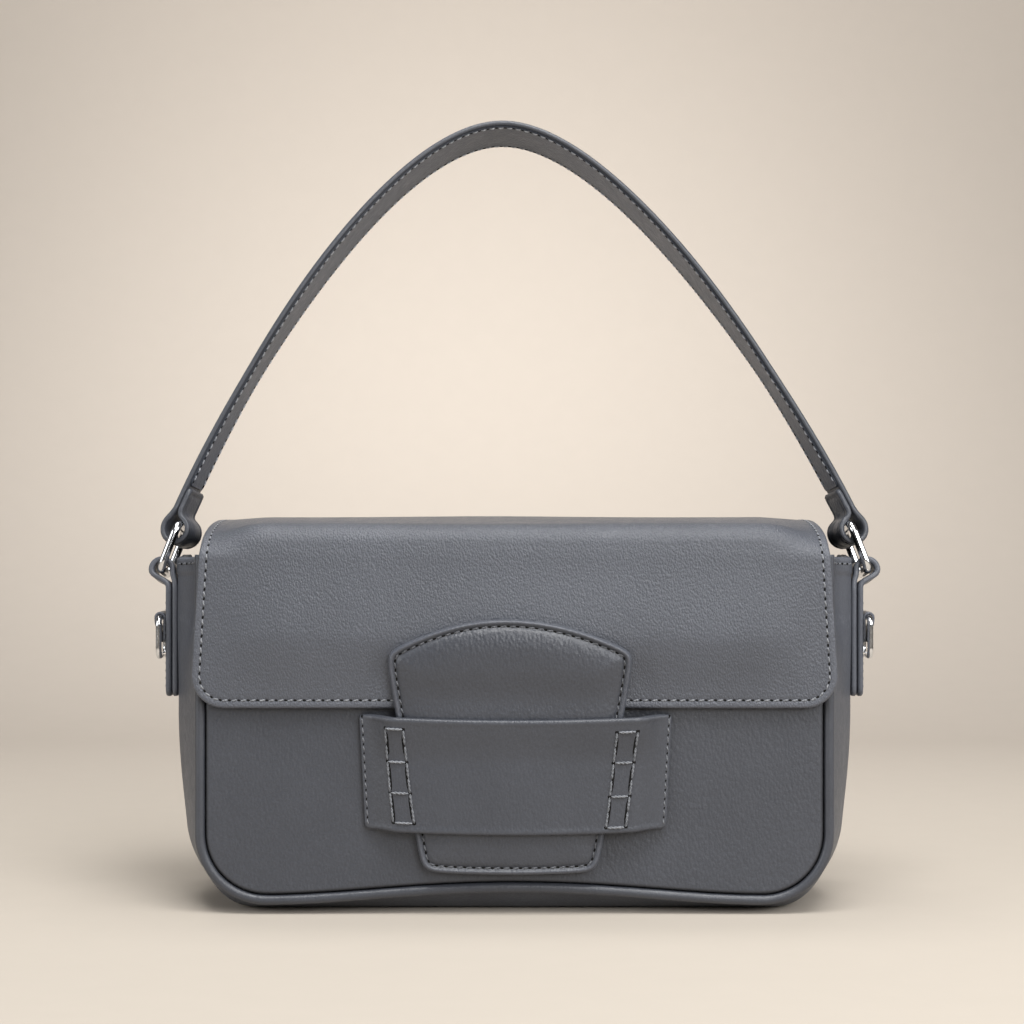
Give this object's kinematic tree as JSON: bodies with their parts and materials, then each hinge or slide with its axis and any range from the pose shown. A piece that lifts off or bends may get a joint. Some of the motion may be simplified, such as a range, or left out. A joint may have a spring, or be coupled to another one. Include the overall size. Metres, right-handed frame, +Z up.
{
  "type": "flap shoulder bag",
  "caption": "Structured leather shoulder bag with a front flap, a tongue tucked under a keeper band, side rings and a curved strap.",
  "frame": {"origin": "middle of the bag's flat base, where it stands on the ground", "axes": "+X to the right across the front, +Y from the front to the back, +Z up"},
  "size_m": [0.2946, 0.1009, 0.3168],
  "materials": {
    "front_panel": "satin fine grain",
    "back_panel": "satin fine grain",
    "lining_front": "matt woven lining",
    "lining_back": "matt woven lining",
    "slip_pocket": "matt woven lining",
    "front_piping": "satin fine grain",
    "back_piping": "satin fine grain",
    "gusset": "satin fine grain",
    "lining_gusset": "matt woven lining",
    "base_board": "matt fibre board",
    "keeper_band": "satin fine grain",
    "flap_root": "satin fine grain",
    "flap_top": "satin fine grain",
    "flap_top_lining": "matt woven lining",
    "flap_front": "satin fine grain",
    "flap_front_lining": "matt woven lining",
    "tongue_lining": "satin fine grain",
    "closure_tongue": "satin fine grain",
    "left_side_tab": "satin fine grain",
    "right_side_tab": "satin fine grain",
    "left_chape": "satin fine grain",
    "right_chape": "satin fine grain",
    "left_side_frame": "polished",
    "right_side_frame": "polished",
    "left_tab_loop": "satin fine grain",
    "right_tab_loop": "satin fine grain",
    "left_ring": "polished",
    "right_ring": "polished",
    "shoulder_strap": "satin fine grain",
    "strap_lining": "satin fine grain"
  },
  "bodies": {
    "bag": {"front_panel": "front_panel", "back_panel": "back_panel", "lining_front": "lining_front", "lining_back": "lining_back", "slip_pocket": "slip_pocket", "front_piping": "front_piping", "back_piping": "back_piping", "gusset": "gusset", "lining_gusset": "lining_gusset", "base_board": "base_board", "keeper_band": "keeper_band", "flap_root": "flap_root", "left_side_tab": "left_side_tab", "right_side_tab": "right_side_tab", "left_chape": "left_chape", "right_chape": "right_chape"},
    "flap_top": {"flap_top": "flap_top", "flap_top_lining": "flap_top_lining"},
    "flap_front": {"flap_front": "flap_front", "flap_front_lining": "flap_front_lining", "tongue_lining": "tongue_lining", "closure_tongue": "closure_tongue"},
    "strap": {"shoulder_strap": "shoulder_strap", "strap_lining": "strap_lining", "left_tab_loop": "left_tab_loop", "right_tab_loop": "right_tab_loop"},
    "left_ring": {"left_ring": "left_ring"},
    "right_ring": {"right_ring": "right_ring"},
    "left_frame": {"left_side_frame": "left_side_frame"},
    "right_frame": {"right_side_frame": "right_side_frame"}
  },
  "joints": [
    {"name": "flap_open", "type": "hinge", "parent": "bag", "child": "flap_top", "pos_m": [0, 0.0469, 0.1439], "axis": [-1, 0, 0], "range_deg": [0, 75]},
    {"name": "flap_fold", "type": "hinge", "parent": "flap_top", "child": "flap_front", "pos_m": [0, -0.0469, 0.1439], "axis": [-1, 0, 0], "range_deg": [0, 80], "deforming": ["closure_tongue", "tongue_lining"]},
    {"name": "strap_fall", "type": "hinge", "parent": "bag", "child": "strap", "pos_m": [0, 0, 0.124], "axis": [-1, 0, 0], "range_deg": [0, 51]},
    {"name": "left_ring_swing", "type": "hinge", "parent": "strap", "child": "left_ring", "pos_m": [-0.13537, 0.00393, 0.14882], "axis": [0, 0.9877, -0.1564], "range_deg": [-4, 4]},
    {"name": "right_ring_swing", "type": "hinge", "parent": "strap", "child": "right_ring", "pos_m": [0.13537, 0.00393, 0.14882], "axis": [0, -0.9877, 0.1564], "range_deg": [-4, 4]},
    {"name": "left_frame_swing", "type": "hinge", "parent": "bag", "child": "left_frame", "pos_m": [-0.1428, 0, 0.1125], "axis": [0, 1, 0], "range_deg": [0, 90]},
    {"name": "right_frame_swing", "type": "hinge", "parent": "bag", "child": "right_frame", "pos_m": [0.1428, 0, 0.1125], "axis": [0, -1, 0], "range_deg": [0, 90]}
  ],
  "couplings": [
    {"joint": "strap_fall", "follows": "flap_open", "ratio": 0.66}
  ]
}
